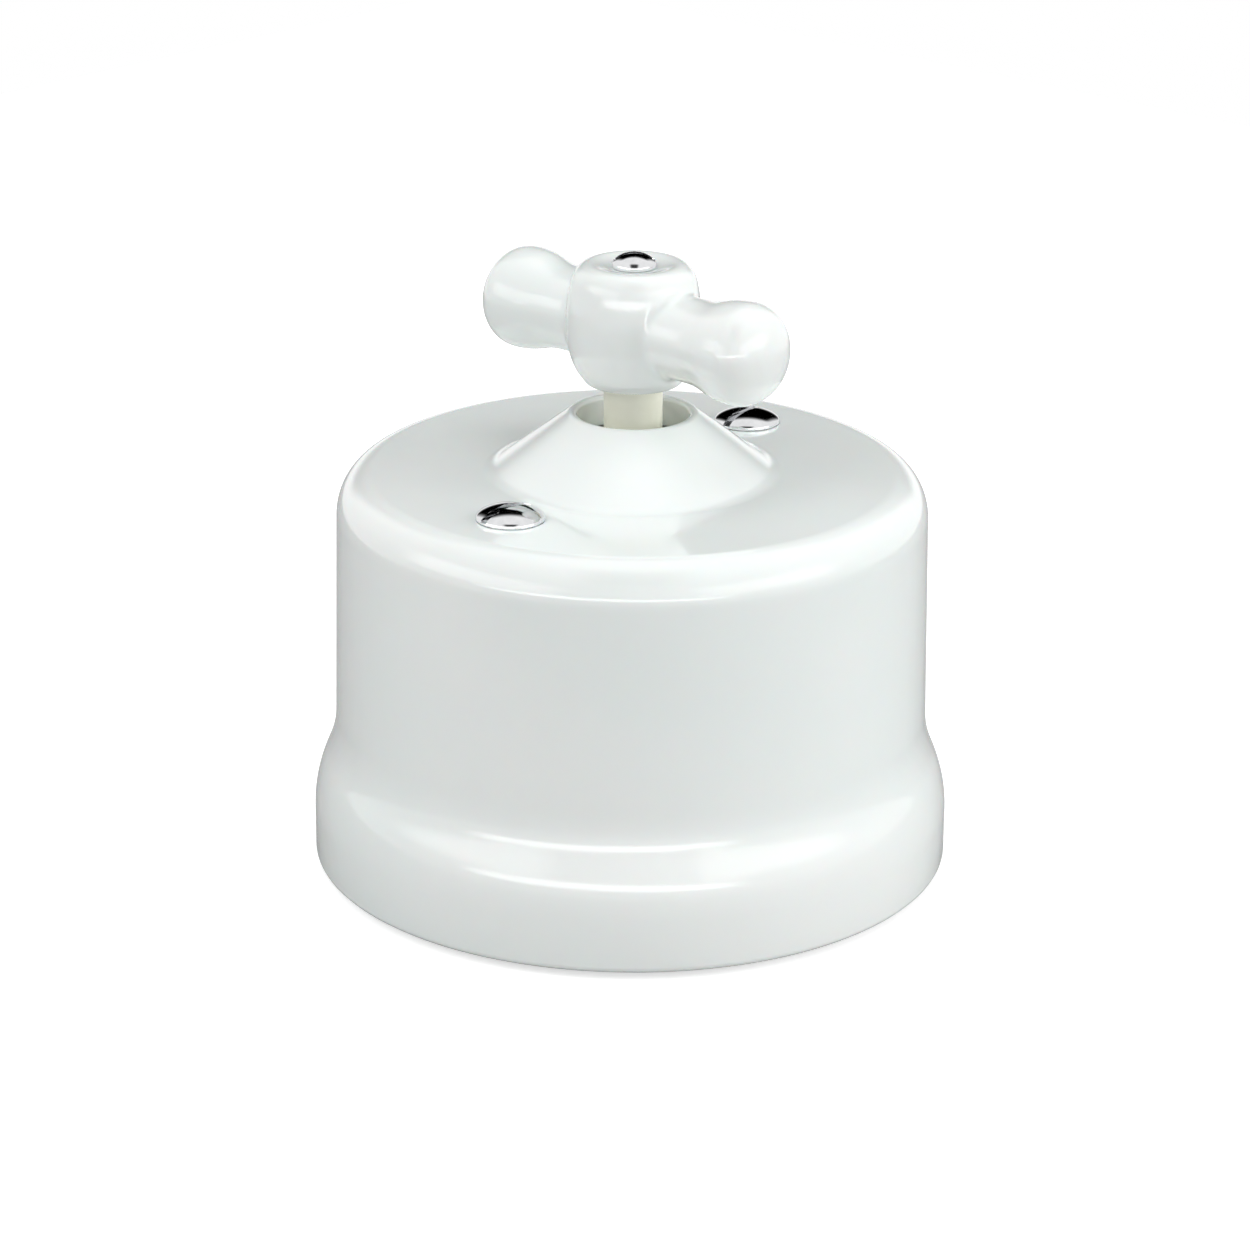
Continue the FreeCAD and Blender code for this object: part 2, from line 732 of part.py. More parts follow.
# Handle: one porcelain piece, a barrel-shaped hub with two lobes along X
def handle_hub():
    """Barrel whose side is one curve from the foot to the shoulder under the top."""
    shoulder_height = hub_height - hub_shoulder_drop
    hub_flat_radius = dish_radius + dish_lip
    shoulder = (hub_shoulder_radius, handle_bottom + shoulder_height)
    foot = (hub_foot_radius, handle_bottom + hub_foot_round)
    belly = (hub_foot_radius + hub_belly_bulge, foot[1] + hub_belly_level * shoulder_height)
    chest = (hub_shoulder_radius + hub_chest_bulge, foot[1] + hub_chest_level * shoulder_height)
    slope = (shoulder[0] - chest[0]) / (shoulder[1] - chest[1])
    corner = (shoulder[0] + slope * (handle_top - shoulder[1]), handle_top)
    edges = [
        curve_edge(foot, belly, chest, shoulder),
        quarter_oval(shoulder, corner, (hub_flat_radius, handle_top)),
        quarter_oval((hub_foot_radius - hub_foot_round, handle_bottom),
                     (hub_foot_radius, handle_bottom), foot),
    ]
    edges += path_edges([
        (hub_flat_radius, handle_top, 0),
        (dish_radius, handle_top, 0),
        (handle_screw_head_radius + dish_floor_gap, dish_floor, dish_floor_round),
        (0, dish_floor, 0),
        (0, handle_bottom, 0),
        (hub_foot_radius - hub_foot_round, handle_bottom, 0),
    ])
    return turned(edges)


def handle_lobes():
    """Both lobes turned about X as one bar: slim at the hub, fullest near the rounded ends."""
    step_middle = (lobe_neck_end + lobe_bulb) / 2
    ends = (vec(-lobe_neck_end, 0, lobe_neck_radius), vec(lobe_neck_end, 0, lobe_neck_radius))
    edges = [Part.makeLine(*ends)]
    for side in (1, -1):
        bulb = (side * lobe_bulb, lobe_radius)
        edges.append(curve_edge((side * lobe_neck_end, lobe_neck_radius),
                                (side * step_middle, lobe_neck_radius),
                                (side * step_middle, lobe_radius), bulb))
        edges.append(quarter_oval(bulb, (side * lobe_length, lobe_radius), (side * lobe_length, 0)))
    edges.append(Part.makeLine(vec(-lobe_length, 0, 0), vec(lobe_length, 0, 0)))
    return moved(turned(edges, axis=(1, 0, 0)), (0, 0), handle_axis_height)


def on_junction(edge):
    """True for an edge where the hub's side meets the neck of a lobe."""
    for t in (0.1, 0.37, 0.71):
        low, high = edge.ParameterRange
        point = edge.valueAt(low + t * (high - low))
        off_neck = math.hypot(point.y, point.z - handle_axis_height) - lobe_neck_radius
        if abs(off_neck) > 0.01 or abs(point.x) > lobe_neck_end - 0.1:
            return False
    return edge.BoundBox.YLength > lobe_neck_radius / 2


def handle():
    body = handle_hub().fuse(handle_lobes())
    body = body.makeFillet(junction_round, [e for e in body.Edges if on_junction(e)])
    socket = square_bar(key_side + 2 * key_clearance, handle_bottom - past, handle_top - handle_roof)
    hole = cylinder(handle_screw_radius + screw_clearance / 2, handle_bottom, handle_top + past)
    return body.cut([socket, hole])


def handle_screw():
    head = domed_head(handle_screw_head_radius, handle_screw_head_rim, handle_screw_dome, dish_floor)
    shank = cylinder(handle_screw_radius, insert_bottom + handle_screw_stop, dish_floor)
    top = dish_floor + handle_screw_head_rim + handle_screw_dome
    return slotted(head.fuse(shank), handle_screw_head_radius, top, handle_screw_slot_width,
                   handle_screw_slot_depth, handle_screw_slot_angle)


# Everything, one file for each sub-part
save("porcelain_cover", cover())
save("porcelain_base", base())
save("cover_screws", *[moved(cover_screw(a), p) for a, p in zip(cover_screw_slots, cover_screw_places)])
save("cover_pillars", *[pillar(p) for p in cover_screw_places])
save("pillar_screws", *[back_screw(p, pillar_screw_radius, base_thickness + pillar_screw_reach)
                        for p in cover_screw_places])
save("mechanism_housing", housing())
save("housing_screws", *[back_screw(p, housing_screw_radius, pocket_floor + housing_screw_reach)
                         for p in housing_screw_places])
save("mechanism_lid", lid())
save("lid_screws", *[lid_screw(p) for p in lid_screw_places])
save("contact_common", common_contact())
save("contact_way_one", strip(-1, -1))
save("contact_way_two", strip(1, -1))
save("fixed_contact_tips", *[cylinder(tip_radius, strip_top, fixed_tip_top, p) for p in fixed_tip_places])
save("terminal_blocks", *[terminal_block(p) for p in terminal_places])
save("terminal_screws", *[terminal_screw(p) for p in terminal_places])
save("detent_spring_front", leaf_spring(-1))
save("detent_spring_back", leaf_spring(1))
save("spindle", spindle())
save("spindle_insert", spindle_insert())
save("rotor", rotor())
save("contact_bridge", contact_bridge())
save("bridge_tips", *[cylinder(tip_radius, bridge_bottom - tip_height, bridge_bottom, p)
                      for p in moving_tip_places])
save("pressure_spring", pressure_spring())
save("thrust_washer", thrust_washer())
save("retaining_ring", retaining_ring())
save("handle", handle())
save("handle_screw", handle_screw())
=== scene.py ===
# %% [markdown]
# A porcelain rotary switch
#
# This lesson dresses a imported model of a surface-mounted light switch. The model gives the
# mechanism, its places and its motion. What the eye sees from outside is made again here, by
# hand: a glazed cover, a glazed turning handle, chrome screws and a cream spindle.

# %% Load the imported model
import json
import math

import bpy
from mathutils import Matrix, Vector


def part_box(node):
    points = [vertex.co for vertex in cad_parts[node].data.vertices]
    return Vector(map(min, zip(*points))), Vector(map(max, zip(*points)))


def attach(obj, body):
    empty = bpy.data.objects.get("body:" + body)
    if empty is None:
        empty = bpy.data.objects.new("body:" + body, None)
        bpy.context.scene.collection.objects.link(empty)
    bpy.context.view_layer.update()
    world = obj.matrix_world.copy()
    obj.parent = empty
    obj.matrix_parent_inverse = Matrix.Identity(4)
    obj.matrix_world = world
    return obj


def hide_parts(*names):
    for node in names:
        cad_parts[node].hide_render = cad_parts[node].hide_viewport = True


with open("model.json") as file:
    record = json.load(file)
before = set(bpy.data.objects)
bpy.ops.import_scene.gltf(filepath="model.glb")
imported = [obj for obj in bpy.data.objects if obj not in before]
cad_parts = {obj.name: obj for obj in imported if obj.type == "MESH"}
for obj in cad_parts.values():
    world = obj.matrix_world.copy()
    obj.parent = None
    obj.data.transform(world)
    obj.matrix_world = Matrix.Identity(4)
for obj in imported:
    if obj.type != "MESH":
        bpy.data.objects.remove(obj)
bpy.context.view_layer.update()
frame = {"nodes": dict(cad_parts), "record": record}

# %% [markdown]
# Blender counts in metres here, and the switch is 65 mm wide. Sizes are easier to read in
# millimetres, so each one is written as a number of mm, with heights counted from the wall.
# The handle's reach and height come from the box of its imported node, so that the handle made
# here stays in step with the model.

# %% Sizes read from the model
mm = 0.001
handle_low, handle_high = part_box("handle")
hub_bottom_z, hub_top_z = handle_low.z / mm, handle_high.z / mm
lobe_x = handle_high.x / mm
print("handle reaches", round(lobe_x, 2), "mm from the axis and stands from",
      round(hub_bottom_z, 2), "to", round(hub_top_z, 2), "mm")

# %% [markdown]
# An operator acts on everything that is selected, so each step begins with nothing selected.
# Three small helpers do that: the first returns to object mode with nothing selected, the
# second picks one piece and makes it active, and the third opens it for editing.

# %% Helpers for selecting
def nothing_selected():
    if bpy.context.object and bpy.context.object.mode != "OBJECT":
        bpy.ops.object.mode_set(mode="OBJECT")
    bpy.ops.object.select_all(action="DESELECT")


def only(piece):
    nothing_selected()
    piece.select_set(True)
    bpy.context.view_layer.objects.active = piece


def edit_all(piece):
    """Edit mode with every vertex selected."""
    only(piece)
    bpy.ops.object.mode_set(mode="EDIT")
    bpy.ops.mesh.select_all(action="SELECT")


nothing_selected()
print("selected", len(bpy.context.selected_objects), "objects")

# %% [markdown]
# Porcelain ware of this kind is round because it is turned or pressed in a round die. It could
# be cut from a cylinder, ring by ring. A lathe is closer to the real work: half of the outline
# is drawn as a chain of vertices, each one extruded from the last, and the chain is spun once
# round the axis. Spin leaves a double seam and may turn the faces inwards, so the doubles are
# merged and the normals are set right.

# %% A lathe made of extrude and spin
seam = 0.001 * mm


def draw_outline(name, points):
    """A chain of edges through points (x, z) in the XZ plane, drawn from one vertex."""
    nothing_selected()
    bpy.ops.mesh.primitive_plane_add(size=mm)
    piece = bpy.context.object
    piece.name = name
    piece.data.name = name
    edit_all(piece)
    bpy.ops.mesh.merge(type="CENTER")
    bpy.ops.transform.translate(value=(points[0][0], 0, points[0][1]))
    for last, point in zip(points, points[1:]):
        step = (point[0] - last[0], 0, point[1] - last[1])
        bpy.ops.mesh.extrude_region_move(TRANSFORM_OT_translate={"value": step})
    return piece


def close_and_face_out():
    bpy.ops.mesh.select_all(action="SELECT")
    bpy.ops.mesh.remove_doubles(threshold=seam)
    bpy.ops.mesh.normals_make_consistent(inside=False)
    bpy.ops.object.mode_set(mode="OBJECT")


def lathe(name, points, steps, centre=(0, 0, 0), axis=(0, 0, 1)):
    """Spins an outline once round the axis and closes the seam and the poles."""
    piece = draw_outline(name, points)
    bpy.ops.mesh.select_all(action="SELECT")
    bpy.ops.mesh.spin(steps=steps, angle=math.tau, center=centre, axis=axis)
    close_and_face_out()
    return piece


# %% [markdown]
# Fired edges are never sharp, because the glaze pulls them round. A bevel could break them
# after the spin, but here they are drawn into the outline, so that each corner has its own
# curve. A quarter of an oval turns a full corner, and a soft bend turns a flat one. Both are
# given by three points and a count.

# %% Quarter ovals and soft bends
def quarter_oval(start, corner, end, count):
    """Points of a quarter oval from start to end, tangent to the lines through the corner."""
    points = []
    for i in range(count + 1):
        turn = math.pi / 2 * i / count
        a, b = 1 - math.sin(turn), 1 - math.cos(turn)
        points.append(tuple(corner[k] + a * (start[k] - corner[k]) + b * (end[k] - corner[k])
                            for k in (0, 1)))
    return points


def bend(start, corner, end, count):
    """Points of a parabola that leaves start towards the corner and reaches end from it."""
    points = []
    for i in range(count + 1):
        t = i / count
        points.append(tuple((1 - t) ** 2 * start[k] + 2 * t * (1 - t) * corner[k] + t * t * end[k]
                            for k in (0, 1)))
    return points


print("quarter of an oval", quarter_oval((0, 0), (1, 0), (1, 1), 2))

# %% [markdown]
# The collar and the ceiling are straight-sided, and their corners have a known radius. An arc
# needs the corner and its two neighbours: its centre lies on the line that halves the angle,
# and its points turn evenly from one side to the other.

# %% Arcs in a straight-sided path
def rounded(before, corner, after, radius, count):
    """Points of an arc of the given radius that rounds one corner of a straight-sided path."""
    corner_at = Vector(corner)
    back = (Vector(before) - corner_at).normalized()
    ahead = (Vector(after) - corner_at).normalized()
    half = back.angle(ahead) / 2
    centre = corner_at + (back + ahead).normalized() * radius / math.sin(half)
    first = corner_at + back * radius / math.tan(half) - centre
    last = corner_at + ahead * radius / math.tan(half) - centre
    whole = first.angle(last)
    points = []
    for i in range(count + 1):
        t = i / count
        spoke = (math.sin((1 - t) * whole) * first + math.sin(t * whole) * last) / math.sin(whole)
        points.append(tuple(centre + spoke))
    return points


def in_mm(points):
    return [(x * mm, z * mm) for x, z in points]


print("rounded corner", rounded((0, 0), (1, 0), (1, 1), 0.5, 2))

# %% [markdown]
# The cover is one piece of glazed porcelain: a drum with a wider skirt, a rounded shoulder and
# a raised collar round the spindle's hole. Inside it is hollow, with a wall of a few
# millimetres, and the collar is hollow too, to let the mechanism's neck come up into it.

# %% Radii and heights of the cover
turn_steps = 240
foot_x, body_x, top_x, plate_edge_x = 32.5, 30.2, 29.85, 26.15
rim_z, skirt_z, flare_middle_z, flare_z = 0.25, 5.8, 11.3, 16.3
shoulder_z, plate_z, lip_z = 37.0, 41.5, 47.6
collar_x, lip_x, hole_x = 14.3, 6.42, 5.67
cavity_x, skirt_inside_x, base_z, ceiling_z = 26.9, 29.3, 7.0, 38.3
recess_x, recess_top_x, recess_top_z = 11.3, 6.62, 44.6
foot_round_x, foot_round_z = 2.0, 1.1
collar_foot_round, lip_round, hole_round, ceiling_round = 2.5, 0.75, 0.45, 3.0
flare_middle_x = foot_x - (foot_x - body_x) * (flare_middle_z - skirt_z) / (flare_z - skirt_z)
print("wall", round(body_x - cavity_x, 2), "mm and plate", round(plate_z - ceiling_z, 2),
      "mm thick")

# %% [markdown]
# The outline runs up the outside, over the collar, down through the hole and back along the
# inside, so that the shell has its real thickness. The flare between skirt and body is two
# soft bends that meet at its middle, the lower one crowned and the upper one hollow.

# %% Turn the cover
collar_foot, collar_lip = (collar_x, plate_z), (lip_x, lip_z)
outside = quarter_oval((foot_x - foot_round_x, rim_z), (foot_x, rim_z),
                       (foot_x, rim_z + foot_round_z), 8)
outside += bend((foot_x, skirt_z), (foot_x, (skirt_z + flare_middle_z) / 2),
                (flare_middle_x, flare_middle_z), 10)
outside += bend((flare_middle_x, flare_middle_z), (body_x, (flare_middle_z + flare_z) / 2),
                (body_x, flare_z), 10)[1:]
outside += quarter_oval((top_x, shoulder_z), (top_x, plate_z), (plate_edge_x, plate_z), 18)
outside += rounded((plate_edge_x, plate_z), collar_foot, collar_lip, collar_foot_round, 8)
outside += rounded(collar_foot, collar_lip, (hole_x, lip_z), lip_round, 6)
outside += rounded(collar_lip, (hole_x, lip_z), (hole_x, recess_top_z), hole_round, 5)
inside = [(hole_x, recess_top_z), (recess_top_x, recess_top_z), (recess_x, ceiling_z)]
inside += rounded((recess_x, ceiling_z), (cavity_x, ceiling_z), (cavity_x, base_z),
                  ceiling_round, 8)
inside += [(cavity_x, base_z), (skirt_inside_x, base_z), (skirt_inside_x, rim_z)]
cover_outline = in_mm(outside + inside + outside[:1])
cover = lathe("cover_glazed", cover_outline, turn_steps)
print("outline has", len(cover_outline), "points, cover has", len(cover.data.polygons), "faces")

# %% [markdown]
# A finished piece keeps its object at the origin and its place in its mesh, so a piece is moved
# and the move is applied at once. Two solids could be joined face by face. A Boolean modifier
# with the exact solver does it in one step, and its tool is thrown away afterwards.

# %% Helpers for moving, combining and shading
def move_to(piece, place):
    """Moves a piece by place and leaves its object at the origin."""
    only(piece)
    bpy.ops.transform.translate(value=place)
    bpy.ops.object.transform_apply(location=True, rotation=True, scale=True)


def combine(piece, tool, operation):
    """Joins a tool to a piece, or cuts it away, and removes the tool."""
    only(piece)
    bpy.ops.object.modifier_add(type="BOOLEAN")
    modifier = piece.modifiers[-1]
    modifier.operation = operation
    modifier.object = tool
    modifier.solver = "EXACT"
    bpy.ops.object.modifier_apply(modifier=modifier.name)
    bpy.data.objects.remove(tool)


def shade_smooth(piece, sharp_from):
    """Smooth shading that keeps edges sharp from an angle in degrees."""
    only(piece)
    bpy.ops.object.shade_smooth_by_angle(angle=math.radians(sharp_from))


# %% [markdown]
# Two screws hold the cover. Under each one hangs a round boss, and the plate is countersunk for
# the screw's head. The holes could be modelled into the plate's faces, but the rings of the
# lathe don't follow them. So the bosses are joined and the holes are cut, as a drill would.
# A joined piece reaches into its neighbour, and a cutter reaches past the surface.

# %% Bosses and countersunk holes
screw_steps = 96
screw_circle, screw_angle = 19.7, 95.0
boss_x, boss_bottom_z, boss_edge = 5.0, 34.3, 0.4
head_x, way_x = 3.4, 2.05
into, past = 0.5, 1
screw_places = [Vector((math.cos(math.radians(screw_angle + half)),
                        math.sin(math.radians(screw_angle + half)), 0)) * screw_circle * mm
                for half in (0, 180)]
boss_outline = [(0, boss_bottom_z), (boss_x - boss_edge, boss_bottom_z),
                (boss_x, boss_bottom_z + boss_edge), (boss_x, ceiling_z + into),
                (0, ceiling_z + into)]
sink_outline = [(0, boss_bottom_z - past), (way_x, boss_bottom_z - past),
                (way_x, plate_z - head_x + way_x), (head_x, plate_z),
                (head_x, plate_z + past), (0, plate_z + past)]
for place in screw_places:
    boss = lathe("boss", in_mm(boss_outline), screw_steps)
    move_to(boss, place)
    combine(cover, boss, "UNION")
    sink = lathe("sink", in_mm(sink_outline), screw_steps)
    move_to(sink, place)
    combine(cover, sink, "DIFFERENCE")
shade_smooth(cover, 32)
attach(cover, "switch_body")
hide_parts("porcelain_cover")
print("cover has", len(cover.data.polygons), "faces after its holes")

# %% [markdown]
# The handle is one glazed piece too: a barrel-shaped hub with two lobes that the fingers turn.
# The hub is turned on the Z axis. Its side swells and comes in again, which a quarter of an
# oval can't do, so a cubic curve with four control points draws it. A shallow dish in its top
# takes the screw.

# %% Turn the hub
handle_steps = 128
hub_foot, hub_foot_edge = (4.95, 50.7), 0.3
hub_swell = ((7.15, 53.33), (7.09, 57.68))
hub_shoulder, hub_corner_x, hub_rim_x = (6.25, 61.3), 5.86, 4.5
dish_edge_x, dish_edge_drop, dish_foot_x, dish_floor_z, dish_round = 4.2, 0.03, 2.55, 62.55, 0.8


def bezier(a, b, c, d, count):
    """Points of a cubic curve with its four control points."""
    points = []
    for i in range(count + 1):
        t = i / count
        weights = ((1 - t) ** 3, 3 * t * (1 - t) ** 2, 3 * t * t * (1 - t), t ** 3)
        points.append(tuple(sum(w * p[k] for w, p in zip(weights, (a, b, c, d))) for k in (0, 1)))
    return points


hub_side = (hub_foot[0], hub_foot[1] + hub_foot_edge)
hub_outline = quarter_oval((hub_foot[0] - hub_foot_edge, hub_foot[1]), hub_foot, hub_side, 4)
hub_outline += bezier(hub_side, *hub_swell, hub_shoulder, 20)[1:]
hub_outline += quarter_oval(hub_shoulder, (hub_corner_x, hub_top_z), (hub_rim_x, hub_top_z),
                            8)[1:]
hub_outline += [(dish_edge_x, hub_top_z - dish_edge_drop)]
hub_outline += rounded((dish_edge_x, hub_top_z), (dish_foot_x, dish_floor_z), (0, dish_floor_z),
                       dish_round, 5)
hub_outline = [(0, hub_bottom_z)] + hub_outline + [(0, dish_floor_z)]
handle = lathe("handle_glazed", in_mm(hub_outline), handle_steps)
print("hub outline has", len(hub_outline), "points")

# %% [markdown]
# Each lobe is a neck that thickens to a round bulb. They could be made one by one, but a single
# spin round the X axis, straight through the hub, gives two that match. Half of the outline is
# drawn, and the other half is the same with X turned round.

# %% Turn the lobes
axis_z = 56.6
bulb_x, bulb_r = 14.6, 5.2
neck_x, neck_r, waist_x = 8.2, 4.25, 11.4
half_lobes = [(0, neck_r), (neck_x, neck_r)]
half_lobes += bezier((neck_x, neck_r), (waist_x, neck_r), (waist_x, bulb_r), (bulb_x, bulb_r),
                     12)[1:]
half_lobes += quarter_oval((bulb_x, bulb_r), (lobe_x, bulb_r), (lobe_x, 0), 14)[1:]
lobe_outline = [(-x, axis_z + r) for x, r in half_lobes[:0:-1]]
lobe_outline += [(x, axis_z + r) for x, r in half_lobes]
lobes = lathe("lobes", in_mm(lobe_outline), handle_steps, centre=(0, 0, axis_z * mm),
              axis=(1, 0, 0))
print("lobes outline has", len(lobe_outline), "points")

# %% [markdown]
# On the real handle no edge shows between hub and lobes: the clay was one piece and the glaze
# ran into the corners. A bevel on the cut line tends to break up where curved surfaces meet at
# a flat angle. A voxel remesh melts the two into one skin of even squares instead.

# %% Melt hub and lobes into one skin
voxel = 0.2 * mm
combine(handle, lobes, "UNION")
only(handle)
bpy.ops.object.modifier_add(type="REMESH")
handle.modifiers[-1].mode = "VOXEL"
handle.modifiers[-1].voxel_size = voxel
bpy.ops.object.modifier_apply(modifier=handle.modifiers[-1].name)
print("handle has", len(handle.data.polygons), "faces after the remesh")

# %% [markdown]
# The glaze fills the corner between hub and neck to a soft valley. Vertices near it are found
# by their place, close to the hub's side and to the neck's, and smoothed many times. Then the
# whole skin is smoothed a little, which takes away the steps that the squares left.

# %% Soften the corners between hub and lobes
hub_side_r, corner_reach, hub_clear_x = 6.7, 1.1, 3
corner_rounds, skin_rounds = 30, 8


def select_where(piece, test):
    """Selects the vertices of a piece for which test(position in mm) is true."""
    edit_all(piece)
    bpy.ops.mesh.select_all(action="DESELECT")
    bpy.ops.object.mode_set(mode="OBJECT")
    count = 0
    for vertex in piece.data.vertices:
        vertex.select = test(vertex.co / mm)
        count += vertex.select
    bpy.ops.object.mode_set(mode="EDIT")
    return count


def near_corner(p):
    """Where the hub's side meets a lobe's neck: close to both surfaces."""
    from_neck = abs(math.hypot(p.y, p.z - axis_z) - neck_r)
    from_hub = abs(math.hypot(p.x, p.y) - hub_side_r)
    return from_neck < corner_reach and from_hub < corner_reach and abs(p.x) > hub_clear_x


found = select_where(handle, near_corner)
bpy.ops.mesh.vertices_smooth(factor=0.5, repeat=corner_rounds)
bpy.ops.mesh.select_all(action="SELECT")
bpy.ops.mesh.vertices_smooth(factor=0.5, repeat=skin_rounds)
bpy.ops.object.mode_set(mode="OBJECT")
print("softened", found, "vertices in the corners")

# %% [markdown]
# The handle sits on the spindle's square end, and its screw goes down through the middle. A
# cube whose lower side is pulled down makes the socket, and a turned pin makes the screw's way.

# %% The square socket and the screw's way
key_half, socket_top_z, way_r = 2.1, 57.8, 1.4
cube_bottom_z = socket_top_z - 2 * key_half
nothing_selected()
bpy.ops.mesh.primitive_cube_add(size=2 * key_half * mm)
socket = bpy.context.object
move_to(socket, (0, 0, (socket_top_z - key_half) * mm))
select_where(socket, lambda p: p.z < socket_top_z - key_half)
bpy.ops.transform.translate(value=(0, 0, (hub_bottom_z - past - cube_bottom_z) * mm))
close_and_face_out()
combine(handle, socket, "DIFFERENCE")
way = lathe("way", in_mm([(0, hub_bottom_z), (way_r, hub_bottom_z), (way_r, hub_top_z + past),
                          (0, hub_top_z + past)]), screw_steps)
combine(handle, way, "DIFFERENCE")
shade_smooth(handle, 40)
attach(handle, "turning_set")
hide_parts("handle")
print("handle has", len(handle.data.polygons), "faces")

# %% [markdown]
# The screws are turned steel with a driver slot, plated with chrome. A ball's cap would be a
# simple head, but its edge is too flat to show the windows, so the dome is halfway between a
# cap and a half oval. The rim is cut under a little, and that draws the dark line at its foot.

# %% Outline of a screw head
undercut = 0.12


def dome_points(radius, seat, rim, dome, count):
    """Outline of a pressed head: a dome halfway between a ball's cap and a half oval."""
    sphere = (radius ** 2 + dome ** 2) / (2 * dome)
    points = [(radius - undercut, seat), (radius, seat + undercut)]
    for i in range(count + 1):
        turn = math.pi / 2 * i / count
        x = radius * math.cos(turn)
        cap = math.sqrt(sphere ** 2 - x ** 2) - (sphere - dome)
        points.append((x, seat + rim + (cap + dome * math.sin(turn)) / 2))
    return points


# %% [markdown]
# A block cuts the slot, and a bevel breaks every sharp edge. The bevel matters more than it
# seems: it is what catches the light round a slot. With no window, transform.rotate turns the
# other way, so the angle gets a minus.

# %% Cut a slot and break the edges
def slotted_screw(name, outline, top_z, slot, slot_angle, edge):
    """Spins a screw, cuts its slot (width, depth, half length) and breaks the edges."""
    screw = lathe(name, in_mm(outline), screw_steps)
    width, depth, half_length = slot
    nothing_selected()
    bpy.ops.mesh.primitive_cube_add(size=mm)
    cutter = bpy.context.object
    edit_all(cutter)
    bpy.ops.transform.resize(value=(2 * half_length, width, 2 * depth))
    angle = math.radians(slot_angle)
    bpy.ops.transform.rotate(value=-angle, orient_axis="Z", center_override=(0, 0, 0))
    bpy.ops.object.mode_set(mode="OBJECT")
    move_to(cutter, (0, 0, top_z * mm))
    combine(screw, cutter, "DIFFERENCE")
    only(screw)
    bpy.ops.object.modifier_add(type="BEVEL")
    modifier = screw.modifiers[-1]
    modifier.width = edge * mm
    modifier.segments = 3
    modifier.limit_method = "ANGLE"
    modifier.angle_limit = math.radians(38)
    bpy.ops.object.modifier_apply(modifier=modifier.name)
    shade_smooth(screw, 40)
    return screw


# %% [markdown]
# The two cover screws were left with their slots at slightly different angles, so each slot is
# cut at its own angle before the screw moves to its hole. In the model both screws are one
# node, so they are joined into one piece that replaces it.

# %% The two cover screws
cover_rim, cover_dome, cover_head_height = 0.3, 1.15, 1.45
cover_slot, cover_slot_angles, cover_screw_edge = (0.85, 1.15, 5.0), (91.0, 82.0), 0.05
shank_x, shank_bottom_z, cone_depth, cone_x = 1.65, 24.3, 1.75, 3.28
cover_screw_outline = [(0, shank_bottom_z), (shank_x, shank_bottom_z),
                       (shank_x, plate_z - cone_depth), (cone_x, plate_z - undercut)]
cover_screw_outline += dome_points(head_x, plate_z, cover_rim, cover_dome, 16)
cover_screws = []
for place, slot_angle in zip(screw_places, cover_slot_angles):
    screw = slotted_screw("cover_screw", cover_screw_outline, plate_z + cover_head_height,
                          cover_slot, slot_angle, cover_screw_edge)
    move_to(screw, place)
    cover_screws.append(screw)
nothing_selected()
for screw in cover_screws:
    screw.select_set(True)
bpy.context.view_layer.objects.active = cover_screws[0]
bpy.ops.object.join()
chrome_screws = bpy.context.object
chrome_screws.name = "cover_screws_chrome"
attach(chrome_screws, "switch_body")
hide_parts("cover_screws")
print("cover screws have", len(chrome_screws.data.polygons), "faces")

# %% [markdown]
# The handle's screw is smaller. Its head sits on the floor of the dish, and its shank reaches
# down through the handle into the brass bush in the spindle. The same helper makes it.

# %% The handle screw
handle_head_x, handle_rim, handle_dome, handle_head_height = 2.25, 0.35, 1.15, 1.5
handle_slot, handle_slot_angle, handle_screw_edge = (0.6, 0.8, 3.0), 43.0, 0.04
handle_shank_x, handle_shank_bottom_z = 1.2, 41.5
handle_screw_outline = [(0, handle_shank_bottom_z), (handle_shank_x, handle_shank_bottom_z),
                        (handle_shank_x, dish_floor_z)]
handle_screw_outline += dome_points(handle_head_x, dish_floor_z, handle_rim, handle_dome, 14)
handle_screw = slotted_screw("handle_screw_chrome", handle_screw_outline,
                             dish_floor_z + handle_head_height, handle_slot, handle_slot_angle,
                             handle_screw_edge)
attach(handle_screw, "turning_set")
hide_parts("handle_screw")
print("handle screw has", len(handle_screw.data.polygons), "faces")

# %% [markdown]
# The spindle is moulded in cream urea, round where it turns in the lid's neck and square where
# the rotor and the handle sit on it. Only a short round stretch shows between collar and
# handle, but the piece is made whole: a turned shaft with its ring groove, two square keys
# joined to its ends, and one stepped bore for the handle's screw.

# %% Sizes of the spindle
shaft_r, key_r, journal_r, groove_r, bore_r, bush_r = 2.95, 2.05, 2.0, 2.3, 1.4, 1.9
journal_z, lower_key_z, shaft_bottom_z, groove_z = 6.3, 8.3, 25.35, 28.4
shaft_top_z, upper_key_z = 50.7, 57.5
bore_z, bush_z, bush_top_z = 39.5, 41.0, 48.0
groove_width, shaft_edge, key_edge, key_into = 0.6, 0.15, 0.12, 1
print("spindle is", round(upper_key_z - journal_z, 2), "mm long")

# %% [markdown]
# The round stretches are spun. The square ones are cubes, stretched and bevelled, because a
# lathe leaves no flats. Each reaches a little into its neighbour before the two are joined: a
# Boolean joins solids badly where they only touch.

# %% Turn the shaft and join its keys
def square_key(bottom_z, top_z, edge):
    """A square bar on the axis with its edges broken."""
    nothing_selected()
    bpy.ops.mesh.primitive_cube_add(size=mm)
    key = bpy.context.object
    edit_all(key)
    bpy.ops.transform.resize(value=(2 * key_r, 2 * key_r, top_z - bottom_z))
    bpy.ops.mesh.bevel(offset=edge * mm, segments=3)
    bpy.ops.transform.translate(value=(0, 0, (bottom_z + top_z) / 2 * mm))
    bpy.ops.object.mode_set(mode="OBJECT")
    return key


